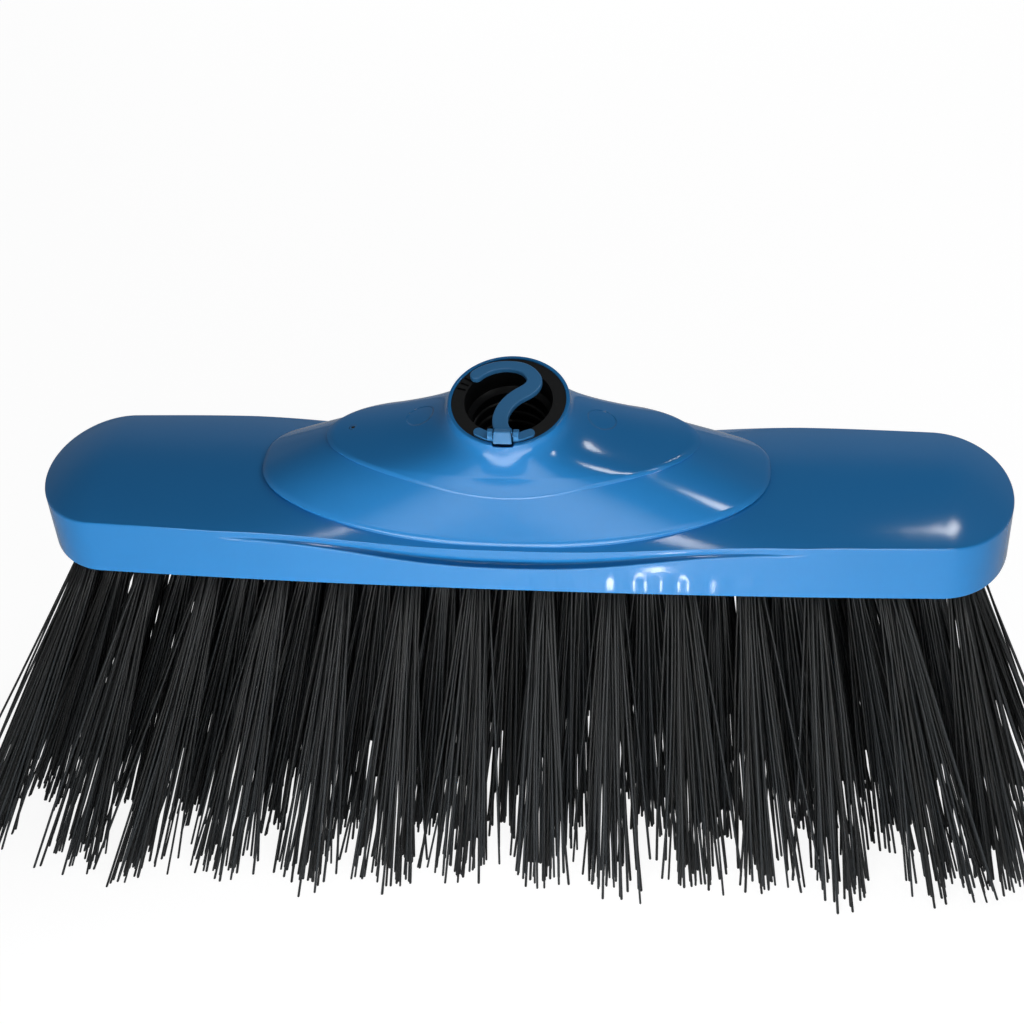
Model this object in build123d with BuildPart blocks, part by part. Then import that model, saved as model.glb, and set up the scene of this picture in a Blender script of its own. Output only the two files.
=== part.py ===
from build123d import *

import os
from math import cos, exp, hypot, pi, radians, sin, tan

# Sweeping-broom head. The origin is on the floor under the middle of the head, at the bristle tips;
# +X runs along the head, -Y is the front (the hook's hinge side) and +Z points up. Millimetres.

# ---------------------------------------------------------------- driving sizes
bristle_length = 124.0  # free length below the skirt, tips on the floor

head_length = 279.4
end_width = 51.0  # across the head where its round ends begin
side_bow = 2.4  # how far each long side bows out at mid-length
end_round = 21.0  # length of each round end
wall_draft = 1.2  # how far the outside leans inward from the skirt's edge up to the crown
wall = 2.4  # moulded wall of the cover
skin_margin = 2.0  # cutting shapes reach this far past what they cut

skirt_height = 17.6  # top edge of the skirt on the wings
skirt_dip = 7.2  # how far the wing edge sinks at mid-length
dip_half_length = 54.4
dip_power = 2.6
crown_height = 22.6  # ridge line of the wings above the skirt's lower edge
edge_round = 0.8  # rounding of the wings' edge
groove_depth = 2.3  # step from the wing edge down to the skirt's ledge, at mid-length
groove_width = 1.9
groove_half_length = 84.0

lower_tier_foot = (72.5, 25.0, 2.66)  # half axes and squareness (2 is an ellipse) of its outline
lower_tier_base = (106.8, 27.0, 9.0)  # half axes and height of the cone that shapes the lower tier
base_power = 3.4  # squareness of the cone's base; its top is an ellipse
lower_tier_top = (53.0, 18.5, 32.4)
upper_tier_foot = (53.0, 20.4)
tier_round = 0.7

mouth_height = 45.7  # middle of the socket's mouth above the skirt's lower edge
socket_tilt = 9.25  # degrees, mouth turned to the front
rim_radius = 16.9
neck_flare = 36.0  # how far the neck spreads along the head where it meets the upper tier
neck_flare_drop = 12.8
neck_flare_power = 2.4
neck_swell = 3.6  # how far the neck spreads across the head
neck_swell_drop = 18.8
neck_swell_power = 1.5
neck_sections = 12
outline_points = 36  # points that the squared outlines pass through
dome_slope_wall = 5.7  # wall of the lower tier measured along the head, on its long slope
dome_front_wall = 2.6  # and measured across the head
dome_top_wall = 2.6
shoulder_wall = 4.0  # under the upper tier's shoulders

flange_radius = 15.8
flange_thickness = 1.6
rim_lip = 0.3  # the rim stands this much above the flange
sleeve_radius = 13.6
sleeve_end_gap = 0.9  # least gap between the sleeve's end and the block
sleeve_floor = 2.2
seat_clearance = 0.05
mouth_bore_radius = 12.2
mouth_bore_depth = 7.0
thread_bore_radius = 10.9
bore_step = 1.5  # length of the cone between the two bores
key_width = 3.0
key_height = 1.0
grip_notches = 3
grip_notch_width = 0.7
grip_notch_angle = 156.0
grip_notch_step = 8.0

boss_radius = 4.0
boss_offset = 25.0

block_recess = 0.8  # the block's underside sits this far inside the skirt
block_height = 11.2
block_clearance = 0.15
block_chamfer = (5.0, 4.5)  # across the head, down the side

tuft_columns = 14
tuft_end_margin = 16.0  # from the head's end to the first tuft
tuft_side_margin = 8.9  # from the head's side to the outermost rows
tuft_hole_radius = 3.5
tuft_hole_depth = 7.6
tuft_clearance = 0.1
tuft_tip_radius = 7.6
tuft_sides = 8
end_lean = 24.0  # degrees, lean of the end tufts along the head
row_lean = 9.7  # degrees, lean of the outer rows across the head
anchor_wire = (0.6, 1.8)  # flat wire: thickness and height
anchor_bite = 0.8  # how far each end bites into the block
fold_height = 0.9  # bristle fold between the anchor and the hole's end

hook_widths = ((0, 4.2), (0.3, 4.4), (0.46, 4.7), (0.6, 3.7), (0.75, 3.1), (0.88, 3.2), (1, 3.6))  # along the strip
hook_thickness = 1.8
hook_round = 0.4
hinge_reach = 14.05  # hinge line in front of the socket's axis
hinge_height = 1.6  # hinge line above the flange
hinge_pin_radius = 0.5
hinge_pin_clearance = 0.04
hinge_pin_length = 1.0
knuckle_radius = 0.95
tab_reach = 2.9  # thumb tab, outward from the hinge line
tab_widths = (5.0, 4.1)  # at its outer end and at the stem
tab_lip = (-0.4, 0.1)  # lower and upper edge of the tab's outer end, from the hinge line
tab_heel = (1.65, 1.5)  # where the tab's sloping face ends over the stem, from the hinge line
side_gap = 0.3
ear_thickness = 1.4
ear_inner_reach = 12.3
ear_outer_reach = 15.1
ear_height = 3.0
foot_inner_reach = 13.0
foot_depth = 2.6  # the clip's foot goes this far below the flange face
foot_thickness = 0.8
petal_width = 2.6
petal_thickness = 0.9
petal_root = (4.4, 13.6)
petal_tip = (7.0, 12.3)
ear_corner = 0.9
hook_stations = 12
stem_start = 1.8  # the strip leaves the knuckle this far behind the hinge line
hook_points = (  # middle line of the strip, in the flange's plane
    (-0.3, -12.6),
    (-0.8, -5.6),
    (2.5, -0.2),
    (6.7, 4.4),
    (4.9, 9.2),
    (-1.0, 11.3),
    (-6.0, 10.2),
    (-9.5, 7.5),
)
slot_clearance = 0.35
pocket_clearance = 0.1

# ---------------------------------------------------------------- places worked out from them
skirt_z = bristle_length
block_z = skirt_z + block_recess
block_top = block_z + block_height
mouth_z = skirt_z + mouth_height
round_start = head_length / 2 - end_round
sleeve_drop = mouth_height - block_recess - block_height - sleeve_end_gap
sleeve_length = sleeve_drop / cos(radians(socket_tilt)) - sleeve_radius * tan(radians(socket_tilt))
tuft_pitch = (head_length - 2 * tuft_end_margin) / (tuft_columns - 1)
outer_row = end_width / 2 - tuft_side_margin

# The flange's face: local x along the head, local y to the back, local z out of the mouth.
face_plane = Plane(
    origin=(0, 0, mouth_z),
    x_dir=(1, 0, 0),
    z_dir=(0, -sin(radians(socket_tilt)), cos(radians(socket_tilt))),
)
socket_axis = Axis(face_plane.origin, face_plane.z_dir)
section_plane = Plane(origin=face_plane.origin, x_dir=(1, 0, 0), z_dir=-face_plane.y_dir)
side_plane = Plane(origin=face_plane.origin, x_dir=face_plane.y_dir, z_dir=(1, 0, 0))

ear_inside = tab_widths[0] / 2 + side_gap
ear_outside = ear_inside + ear_thickness
pin_reach = ear_inside + hinge_pin_length
pocket_half_width = ear_outside + pocket_clearance
pocket_outer = ear_outer_reach + pocket_clearance
pocket_depth = foot_depth + pocket_clearance
slot_half_width = tab_widths[0] / 2 + slot_clearance
slot_radius = hypot(tab_reach, tab_lip[0]) + slot_clearance

anchor_z = block_z + tuft_hole_depth - fold_height - anchor_wire[1]
anchor_length = 2 * (tuft_hole_radius + anchor_bite)


def head_outline(inset):
    """The head's plan, inset all round: bowed long sides and half-ellipse ends."""
    half = end_width / 2 - inset
    middle = half + side_bow
    with BuildLine() as outline:
        EllipticalCenterArc((round_start, 0), end_round - inset, half, -90, arc_size=180)
        ThreePointArc((round_start, half), (0, middle), (-round_start, half))
        EllipticalCenterArc((-round_start, 0), end_round - inset, half, 90, arc_size=180)
        ThreePointArc((-round_start, -half), (0, -middle), (round_start, -half))
    return outline.edges()


def edge_height(x):
    """Height of the wings' edge: level at the ends, with a smooth dip at mid-length."""
    return skirt_height - skirt_dip * exp(-(abs(x / dip_half_length) ** dip_power))


def plan_ratio(x, y, inset):
    """0 on the middle line and 1 on the head's outline, inset all round."""
    half = end_width / 2 - inset
    if abs(x) <= round_start:
        return abs(y) / (half + side_bow * (1 - (x / round_start) ** 2))
    return hypot((abs(x) - round_start) / (end_round - inset), y / half)


def wing_face(inset, drop):
    """Crowned top of the wings as one smooth face, a little larger than the head."""
    x_steps, y_steps = 56, 14
    half_x, half_y = head_length / 2 + skin_margin, end_width / 2 + side_bow + skin_margin
    rows = []
    for i in range(x_steps + 1):
        x = half_x * (2 * i / x_steps - 1)
        row = []
        for j in range(y_steps + 1):
            y = half_y * (2 * j / y_steps - 1)
            fall = (crown_height - edge_height(x)) * plan_ratio(x, y, inset) ** 2
            row.append(Vector(x, y, skirt_z + crown_height - drop - fall))
        rows.append(row)
    return Face.make_surface_from_array_of_points(rows, tol=0.01)


def under_wing(inset, drop):
    """Everything below the crowned top."""
    return Solid.extrude(wing_face(inset, drop), Vector(0, 0, -2 * crown_height))


def ledge_height(x):
    """Height of the skirt's ledge in the rebate, which rises to the wings' edge at its ends."""
    return edge_height(x) - groove_depth * (1 - (x / groove_half_length) ** 2) ** 2


def box_outline(half_width, inner_reach, outer_reach):
    """A rectangle across the front of the mouth, in the flange's own plane."""
    with BuildLine() as outline:
        Polyline(
            (-half_width, -inner_reach),
            (half_width, -inner_reach),
            (half_width, -outer_reach),
            (-half_width, -outer_reach),
            close=True,
        )
    return outline.edges()


def swing_trough():
    """Side view of the room in which the tab swings: a disc about the hinge line, outward of the foot."""
    with BuildSketch(mode=Mode.PRIVATE) as room:
        with Locations((-hinge_reach, hinge_height)):
            Circle(slot_radius)
        with Locations((-foot_inner_reach, hinge_height)):
            Rectangle(2 * slot_radius, 2 * slot_radius, align=(Align.MAX, Align.CENTER), mode=Mode.INTERSECT)
    return room.sketch


def tier_axes(height):
    """Half axes of the lower tier's cone at a height above the skirt's lower edge."""
    (low_x, low_y, low_z), (top_x, top_y, top_z) = lower_tier_base, lower_tier_top
    part = (top_z - height) / (top_z - low_z)
    return top_x + (low_x - top_x) * part, top_y + (low_y - top_y) * part


def squared_ellipse(half_x, half_y, power):
    """A closed curve between an ellipse (power 2) and a rectangle (a large power)."""
    places = []
    for step in range(outline_points):
        c, s = cos(2 * pi * step / outline_points), sin(2 * pi * step / outline_points)
        x, y = abs(c) ** (2 / power), abs(s) ** (2 / power)
        places.append((half_x * (x if c > 0 else -x), half_y * (y if s > 0 else -y)))
    with BuildLine() as outline:
        Spline(*places, periodic=True)
    return outline.edges()


def neck_axes(drop):
    """Half axes of the neck at a drop below its mouth: it flares fast along the head, slowly across."""
    half_x = rim_radius + neck_flare * (drop / neck_flare_drop) ** neck_flare_power
    half_y = rim_radius + neck_swell * (drop / neck_swell_drop) ** neck_swell_power
    return half_x, half_y


def neck_plane(drop):
    """Section planes of the neck: tilted at the mouth and level where the neck meets the tier."""
    tilt = radians(socket_tilt) * max(0, 1 - drop / neck_flare_drop)
    return Plane(origin=(0, 0, mouth_z + rim_lip - drop), x_dir=(1, 0, 0), z_dir=(0, -sin(tilt), cos(tilt)))


def tuft_places(column):
    """Middles of one column's tufts on the block: three in line, two more half a pitch along."""
    x = (column - (tuft_columns - 1) / 2) * tuft_pitch
    places = [(x, -outer_row), (x, 0), (x, outer_row)]
    if column < tuft_columns - 1:
        places += [(x + tuft_pitch / 2, -outer_row / 2), (x + tuft_pitch / 2, outer_row / 2)]
    return places


def hook_half_width(at):
    """Half the strip's width at a share of its length, straight between the given widths."""
    for (low, low_width), (high, high_width) in zip(hook_widths, hook_widths[1:]):
        if at <= high:
            return (low_width + (high_width - low_width) * (at - low) / (high - low)) / 2
    return hook_widths[-1][1] / 2


def hook_sides():
    """Both edges of the hook's strip: points half a width to either side of its middle line."""
    with BuildLine(mode=Mode.PRIVATE) as middle:
        Spline(*hook_points)
    curve = middle.edge()
    sides = []
    for turn in (-90, 90):
        stations = [step / hook_stations for step in range(hook_stations + 1)]
        sides.append(
            [
                curve.position_at(at) + curve.tangent_at(at).rotate(Axis.Z, turn) * hook_half_width(at)
                for at in stations
            ]
        )
    return sides


def hook_tips():
    """The outermost points of the strip's heel and of its free end."""
    with BuildLine(mode=Mode.PRIVATE) as middle:
        Spline(*hook_points)
    curve = middle.edge()
    heel = curve.position_at(0) - curve.tangent_at(0) * hook_half_width(0)
    end = curve.position_at(1) + curve.tangent_at(1) * hook_half_width(1)
    return heel, end


all_places = [place for column in range(tuft_columns) for place in tuft_places(column)]


def tip_place(x, y):
    """Where a tuft that is planted at x, y reaches the floor: the tufts fan out both ways."""
    last_x = (tuft_columns - 1) / 2 * tuft_pitch
    lean_x = tan(radians(end_lean)) * x / last_x
    lean_y = tan(radians(row_lean)) * y / outer_row
    return x + lean_x * block_z, y + lean_y * block_z


def tuft_ring(middle, radius, height):
    """Corners of a tuft's level section."""
    turns = [radians(360 * corner / tuft_sides) for corner in range(tuft_sides)]
    return [(middle[0] + radius * cos(turn), middle[1] + radius * sin(turn), height) for turn in turns]


# ---------------------------------------------------------------- cover
# The wings: the head's plan with drafted sides under the crowned face, its edge rounded.
with BuildPart() as wings:
    with BuildSketch(Plane.XY.offset(skirt_z)):
        make_face(head_outline(0))
    with BuildSketch(Plane.XY.offset(skirt_z + crown_height + skin_margin)):
        make_face(head_outline(wall_draft))
    loft(ruled=True)
    add(under_wing(0, 0), mode=Mode.INTERSECT)
    fillet(wings.faces().sort_by(Axis.Z)[-1].outer_wire().edges(), radius=edge_round)

# The lower tier: a cone from a squared ellipse to an ellipse, cut off upright at its foot.
with BuildPart() as lower_tier:
    for height, power in ((lower_tier_base[2], base_power), (lower_tier_top[2], 2)):
        with BuildSketch(Plane.XY.offset(skirt_z + height)):
            make_face(squared_ellipse(*tier_axes(height), power))
    loft(ruled=True)
    with BuildSketch(Plane.XY.offset(skirt_z)):
        make_face(squared_ellipse(*lower_tier_foot))
    extrude(amount=mouth_height, mode=Mode.INTERSECT)
    fillet(lower_tier.faces().filter_by(GeomType.EXTRUSION).edges().sort_by(Axis.Z)[-1], radius=tier_round)

# The upper tier and the neck: a flare from the round mouth to a long ellipse, cut off at its foot.
with BuildPart() as upper_tier:
    for section in range(neck_sections + 1):
        drop = neck_swell_drop * (1 - section / neck_sections)
        with BuildSketch(neck_plane(drop)):
            Ellipse(*neck_axes(drop))
    loft()
    with BuildSketch(Plane.XY.offset(skirt_z)):
        Ellipse(*upper_tier_foot)
    extrude(amount=2 * mouth_height, mode=Mode.INTERSECT)
    fillet(upper_tier.faces().filter_by(GeomType.EXTRUSION).edges().sort_by(Axis.Z)[-1], radius=tier_round)

# The rebate along the front and back edges: deepest at mid-length, fading out both ways.
with BuildPart() as rebate:
    middle = end_width / 2 + side_bow
    reach = middle + skin_margin
    ends = middle - side_bow * (groove_half_length / round_start) ** 2
    with BuildSketch(Plane.XY.offset(skirt_z)):
        with BuildLine():
            ThreePointArc(
                (-groove_half_length, -ends), (0, groove_width - middle), (groove_half_length, -ends)
            )
            Polyline(
                (groove_half_length, -ends),
                (groove_half_length, -reach),
                (-groove_half_length, -reach),
                (-groove_half_length, -ends),
            )
        make_face()
        mirror(about=Plane.XZ)
    extrude(amount=crown_height)
    with BuildSketch(Plane.XZ):
        with BuildLine():
            ledge = [
                (groove_half_length * step / 8, skirt_z + ledge_height(groove_half_length * step / 8))
                for step in range(-8, 9)
            ]
            Spline(*ledge)
            Polyline(ledge[-1], (ledge[-1][0], mouth_z), (ledge[0][0], mouth_z), ledge[0])
        make_face()
    extrude(amount=head_length, both=True, mode=Mode.INTERSECT)

# The hollow inside: the wings' and the tiers' shapes again, one wall smaller.
with BuildPart() as hollow:
    with BuildSketch(Plane.XY.offset(skirt_z)):
        make_face(head_outline(wall))
    extrude(amount=crown_height)
    add(under_wing(wall, wall), mode=Mode.INTERSECT)
    ceiling = lower_tier_top[2] - dome_top_wall
    shoulder = ceiling + shoulder_wall
    for low, high in ((lower_tier_base[2] / 2, ceiling), (ceiling, shoulder)):
        for height in (low, high):
            half_x, half_y = tier_axes(height)
            with BuildSketch(Plane.XY.offset(skirt_z + height)):
                Ellipse(half_x - dome_slope_wall, half_y - dome_front_wall)
        loft(ruled=True)

# The tube that holds the insert; it stands on the block.
with BuildPart() as socket_tube:
    with BuildSketch(face_plane.offset(-flange_thickness)):
        Circle(sleeve_radius + wall)
    extrude(amount=-mouth_height)
    split(bisect_by=Plane.XY.offset(block_top), keep=Keep.TOP)

with BuildPart() as head_cover:
    add(wings.part)
    add(lower_tier.part)
    add(upper_tier.part)
    add(rebate.part, mode=Mode.SUBTRACT)
    add(hollow.part, mode=Mode.SUBTRACT)
    add(socket_tube.part)
    # Bosses that stand on the block either side of the socket.
    with BuildSketch(Plane.XY.offset(block_top)):
        with Locations((-boss_offset, 0), (boss_offset, 0)):
            Circle(boss_radius)
    extrude(amount=shoulder + skin_margin - block_top + skirt_z)
    # Seat of the insert: flange recess, sleeve bore and two keyways.
    with BuildSketch(face_plane.offset(-flange_thickness)):
        Circle(flange_radius + seat_clearance)
    extrude(amount=flange_thickness + 2 * rim_lip, mode=Mode.SUBTRACT)
    with BuildSketch(face_plane.offset(-flange_thickness)):
        Circle(sleeve_radius + seat_clearance)
        Rectangle(2 * (sleeve_radius + key_height + seat_clearance), key_width + 2 * seat_clearance)
    extrude(amount=-2 * mouth_height, mode=Mode.SUBTRACT)
    # Pocket and slot for the hook's clip and its thumb tab, at the front of the rim.
    with BuildSketch(face_plane.offset(rim_lip + skin_margin)):
        make_face(box_outline(pocket_half_width, foot_inner_reach - pocket_clearance, pocket_outer))
    extrude(amount=-(rim_lip + skin_margin + pocket_depth), mode=Mode.SUBTRACT)
    with BuildSketch(side_plane):
        add(swing_trough())
    extrude(amount=slot_half_width, both=True, mode=Mode.SUBTRACT)
head_cover.part.label = "head_cover"

# ---------------------------------------------------------------- socket insert
with BuildPart() as socket_insert:
    with BuildSketch(section_plane):
        with BuildLine():
            Polyline(
                (mouth_bore_radius, 0),
                (flange_radius, 0),
                (flange_radius, -flange_thickness),
                (sleeve_radius, -flange_thickness),
                (sleeve_radius, -sleeve_length),
                (0, -sleeve_length),
                (0, sleeve_floor - sleeve_length),
                (thread_bore_radius, sleeve_floor - sleeve_length),
                (thread_bore_radius, -mouth_bore_depth - bore_step),
                (mouth_bore_radius, -mouth_bore_depth),
                close=True,
            )
        make_face()
    revolve(axis=socket_axis)
    # Keys that stop the sleeve turning in the cover.
    with BuildSketch(face_plane.offset(-2 * flange_thickness)):
        with Locations((-sleeve_radius, 0), (sleeve_radius, 0)):
            Rectangle(2 * key_height, key_width)
    extrude(amount=-sleeve_length / 2)
    # Short grip notches across the flange.
    with BuildSketch(face_plane):
        with PolarLocations(
            (mouth_bore_radius + flange_radius) / 2 + seat_clearance,
            grip_notches,
            grip_notch_angle - grip_notch_step,
            grip_notch_step * grip_notches,
        ):
            Rectangle(flange_radius - mouth_bore_radius - 1, grip_notch_width)
    extrude(amount=-flange_thickness / 3, mode=Mode.SUBTRACT)
    with BuildSketch(face_plane):
        make_face(box_outline(pocket_half_width, foot_inner_reach - pocket_clearance, pocket_outer))
    extrude(amount=-pocket_depth, mode=Mode.SUBTRACT)
    with BuildSketch(side_plane):
        add(swing_trough())
    extrude(amount=slot_half_width, both=True, mode=Mode.SUBTRACT)
socket_insert.part.label = "socket_insert"

# ---------------------------------------------------------------- hook and its clip
with BuildPart() as hook_clip:
    # Two ears on one foot that lies in the pocket.
    for side in (-1, 1):
        start = ear_inside if side > 0 else -ear_outside
        with BuildSketch(side_plane.offset(start)):
            with BuildLine():
                Polyline(
                    (-ear_outer_reach, -foot_depth),
                    (-foot_inner_reach, -foot_depth),
                    (-foot_inner_reach, 0),
                    (-ear_inner_reach, 0),
                    (-ear_inner_reach, ear_height - ear_corner),
                    (-ear_inner_reach - ear_corner, ear_height),
                    (-ear_outer_reach + ear_corner, ear_height),
                    (-ear_outer_reach, ear_height - ear_corner),
                    close=True,
                )
            make_face()
        extrude(amount=ear_thickness)
    with BuildSketch(face_plane.offset(-foot_depth)):
        make_face(box_outline(ear_outside, foot_inner_reach, ear_outer_reach))
    extrude(amount=foot_thickness)
    # Petals that lie on the flange, one beside each ear.
    with BuildSketch(face_plane):
        for side in (-1, 1):
            root = (side * petal_root[0], -petal_root[1])
            tip = (side * petal_tip[0], -petal_tip[1])
            with BuildLine(mode=Mode.PRIVATE) as petal:
                Line(root, tip)
            SlotArc(petal.wire(), petal_width)
    extrude(amount=petal_thickness)
    # Blind holes for the hook's pins.
    with BuildSketch(side_plane):
        with Locations((-hinge_reach, hinge_height)):
            Circle(hinge_pin_radius + hinge_pin_clearance)
    extrude(amount=pin_reach + hinge_pin_clearance, both=True, mode=Mode.SUBTRACT)
hook_clip.part.label = "hook_clip"

# The open hook: one flat strip along a curve, with a round end, a round heel and rounded edges.
with BuildPart() as hook_strip:
    with BuildSketch(face_plane.offset(hinge_height - hook_thickness / 2)):
        with BuildLine():
            right, left = hook_sides()
            heel, end = hook_tips()
            Spline(*right)
            ThreePointArc(right[-1], end, left[-1])
            Spline(*left)
            ThreePointArc(left[0], heel, right[0])
        make_face()
    extrude(amount=hook_thickness)
    fillet(hook_strip.faces().filter_by(GeomType.PLANE).edges(), radius=hook_round)

with BuildPart() as hanging_hook:
    # Thumb tab and knuckle: a wedge in side view, a trapezium in plan.
    with BuildSketch(side_plane):
        with Locations((-hinge_reach, hinge_height)):
            Circle(knuckle_radius)
            with BuildLine():
                Polyline(
                    tab_heel,
                    (-tab_reach, tab_lip[1]),
                    (-tab_reach, tab_lip[0]),
                    (0, -knuckle_radius),
                    (tab_heel[0], -knuckle_radius),
                    close=True,
                )
            make_face()
            with Locations((stem_start / 2, 0)):
                Rectangle(stem_start, hook_thickness)
    extrude(amount=tab_widths[0] / 2, both=True)
    with BuildSketch(face_plane.offset(-knuckle_radius)):
        with BuildLine():
            Polyline(
                (-tab_widths[0] / 2, -hinge_reach - tab_reach),
                (tab_widths[0] / 2, -hinge_reach - tab_reach),
                (tab_widths[1] / 2, stem_start - hinge_reach),
                (-tab_widths[1] / 2, stem_start - hinge_reach),
                close=True,
            )
        make_face()
    extrude(amount=3 * hinge_height, mode=Mode.INTERSECT)
    # The open hook.
    add(hook_strip.part)
    # Hinge pins.
    with BuildSketch(side_plane):
        with Locations((-hinge_reach, hinge_height)):
            Circle(hinge_pin_radius)
    extrude(amount=pin_reach, both=True)
hanging_hook.part.label = "hanging_hook"

# ---------------------------------------------------------------- bristle block
with BuildPart() as bristle_block:
    with BuildSketch(Plane.XY.offset(block_z)):
        make_face(head_outline(wall + block_clearance))
    extrude(amount=block_height)
    top = bristle_block.faces().sort_by(Axis.Z)[-1]
    chamfer(top.edges(), length=block_chamfer[0], length2=block_chamfer[1], reference=top)
    with BuildSketch(Plane.XY.offset(block_z)):
        with Locations(*all_places):
            RegularPolygon(tuft_hole_radius, tuft_sides)
    extrude(amount=tuft_hole_depth, mode=Mode.SUBTRACT)
    with BuildSketch(Plane.XY.offset(anchor_z)):
        with Locations(*all_places):
            Rectangle(anchor_length, anchor_wire[0])
    extrude(amount=anchor_wire[1], mode=Mode.SUBTRACT)
bristle_block.part.label = "bristle_block"

# ---------------------------------------------------------------- tufts and their anchors
tufts = []
for column in range(tuft_columns):
    with BuildPart() as column_tufts:
        for x, y in tuft_places(column):
            root = tuft_ring((x, y), tuft_hole_radius - tuft_clearance, block_z)
            ConvexPolyhedron(root + tuft_ring(tip_place(x, y), tuft_tip_radius, 0))
        with BuildSketch(Plane.XY.offset(block_z)):
            with Locations(*tuft_places(column)):
                RegularPolygon(tuft_hole_radius - tuft_clearance, tuft_sides)
        extrude(amount=tuft_hole_depth - tuft_clearance)
        with BuildSketch(Plane.XY.offset(anchor_z)):
            with Locations(*tuft_places(column)):
                Rectangle(anchor_length, anchor_wire[0])
        extrude(amount=anchor_wire[1], mode=Mode.SUBTRACT)
    column_tufts.part.label = f"tufts_{column + 1:02d}"
    tufts.append(column_tufts.part)

with BuildPart() as tuft_anchors:
    with BuildSketch(Plane.XY.offset(anchor_z)):
        with Locations(*all_places):
            Rectangle(anchor_length, anchor_wire[0])
    extrude(amount=anchor_wire[1])
tuft_anchors.part.label = "tuft_anchors"

# ---------------------------------------------------------------- files
os.makedirs("parts", exist_ok=True)
pieces = [builder.part for builder in (head_cover, socket_insert, hook_clip, hanging_hook)]
pieces += [bristle_block.part, tuft_anchors.part, *tufts]
for piece in pieces:
    export_step(piece, f"parts/{piece.label}.step")
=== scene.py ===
# %% [markdown]
# # Dressing a sweeping-broom head
# The real thing is a long blue plastic head with a stepped dome, a black socket for a handle, a small
# hook folded over the socket's mouth, and thousands of stiff black bristles. The solids of the part
# come in first and stay where they are: everything made here is fitted around them.

import bpy
import numpy as np
from mathutils import Matrix


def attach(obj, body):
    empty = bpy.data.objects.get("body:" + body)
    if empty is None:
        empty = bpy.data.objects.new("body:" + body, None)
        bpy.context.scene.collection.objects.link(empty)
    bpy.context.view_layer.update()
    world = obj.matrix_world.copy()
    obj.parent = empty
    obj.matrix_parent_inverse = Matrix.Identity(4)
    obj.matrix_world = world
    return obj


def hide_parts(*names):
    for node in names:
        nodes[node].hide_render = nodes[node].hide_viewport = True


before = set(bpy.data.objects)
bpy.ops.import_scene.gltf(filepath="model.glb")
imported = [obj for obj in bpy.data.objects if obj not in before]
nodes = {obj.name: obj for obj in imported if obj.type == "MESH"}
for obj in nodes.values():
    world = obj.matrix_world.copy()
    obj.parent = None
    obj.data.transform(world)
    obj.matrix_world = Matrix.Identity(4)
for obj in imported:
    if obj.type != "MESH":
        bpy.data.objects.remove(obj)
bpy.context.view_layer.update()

MM = 0.001

# %% [markdown]
# ## A mesh from a grid of points
# Most pieces here are surfaces of two parameters: rows along a profile and columns around it. One
# helper turns such a grid into a mesh. Working on whole arrays is quick, and the same helper serves
# the cover, the thread and the bristles.

# %% Grid of points to mesh
def grid_faces(rows, columns, closed=True, ring=False):
    """Quads between neighbouring rows and columns; a closed grid joins its last column to its first,
    and a ring joins its last row to its first as well."""
    r, c = np.meshgrid(np.arange(rows - (not ring)), np.arange(columns - (not closed)), indexing="ij")
    below, after = (r + 1) % rows, (c + 1) % columns
    quads = np.stack([r * columns + c, r * columns + after, below * columns + after, below * columns + c], -1)
    return quads.reshape(-1, 4)


def make_piece(name, points_mm, quads, smooth=True):
    """A mesh object at the origin from points in millimetres and a list of four-cornered faces."""
    points = np.asarray(points_mm, np.float32).reshape(-1, 3) * MM
    quads = np.asarray(quads, np.int32)
    mesh = bpy.data.meshes.new(name)
    mesh.vertices.add(len(points))
    mesh.vertices.foreach_set("co", points.ravel())
    mesh.loops.add(quads.size)
    mesh.loops.foreach_set("vertex_index", quads.ravel())
    mesh.polygons.add(len(quads))
    mesh.polygons.foreach_set("loop_start", np.arange(0, quads.size, 4, dtype=np.int32))
    mesh.polygons.foreach_set("use_smooth", np.full(len(quads), smooth))
    mesh.update(calc_edges=True)
    mesh.validate()
    piece = bpy.data.objects.new(name, mesh)
    bpy.context.scene.collection.objects.link(piece)
    print(name, len(points), "points", len(quads), "faces")
    return piece


# %% [markdown]
# ## The head's plan and its heights
# The cover is easiest to describe from above. Its plan is a long oblong with gently bowed sides and
# half-ellipse ends. Heights come from three simple rules: a crowned wing, an elliptical cone, and a
# neck whose sections grow from the round mouth into a long ellipse.

# %% Measures of the cover, in millimetres
SKIRT_Z = 124.0  # the skirt's lower edge above the bristle tips
HALF_LENGTH, END_ROUND = 139.7, 21.0
HALF_WIDTH, SIDE_BOW, DRAFT = 25.5, 2.4, 1.2 / 24.6
ROUND_START = HALF_LENGTH - END_ROUND
EDGE_TOP, EDGE_DIP, DIP_REACH, DIP_POWER = 17.6, 7.2, 54.4, 2.6
CROWN = 22.6
REBATE_HALF, REBATE_WIDTH, REBATE_DEPTH = 84.0, 2.2, 2.3
UPPER_FOOT = (53.0, 20.4)
LOWER_FOOT, FOOT_POWER = (72.5, 25.0), 2.66
CONE_LOW, CONE_TOP, CONE_POWER = (106.8, 27.0, 9.0), (53.0, 18.5, 32.4), 3.4
MOUTH_Z, TILT = SKIRT_Z + 45.7, np.radians(9.25)
RIM_RADIUS, RIM_LIP = 16.9, 0.3
SEAT_RADIUS, SEAT_DROP = 15.85, 1.75  # recess in which the flange lies
SLEEVE_RADIUS, SLEEVE_END = 13.75, -29.5
SLOT_HALF, SLOT_EDGE = 2.9, 0.06  # gap in the rim for the hook's tab, and how softly it starts
SLOT_DROP, SEAT_SHARE = 0.42, 3.4  # how far the rim sinks there, and how many times that inside
TIER_STEP, TIER_UNDERCUT = 0.55, 1.3  # upright edge of each tier, and how far the next runs in under it
FLARE, FLARE_DROP, FLARE_POWER = 39.0, 12.8, 2.78
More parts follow.
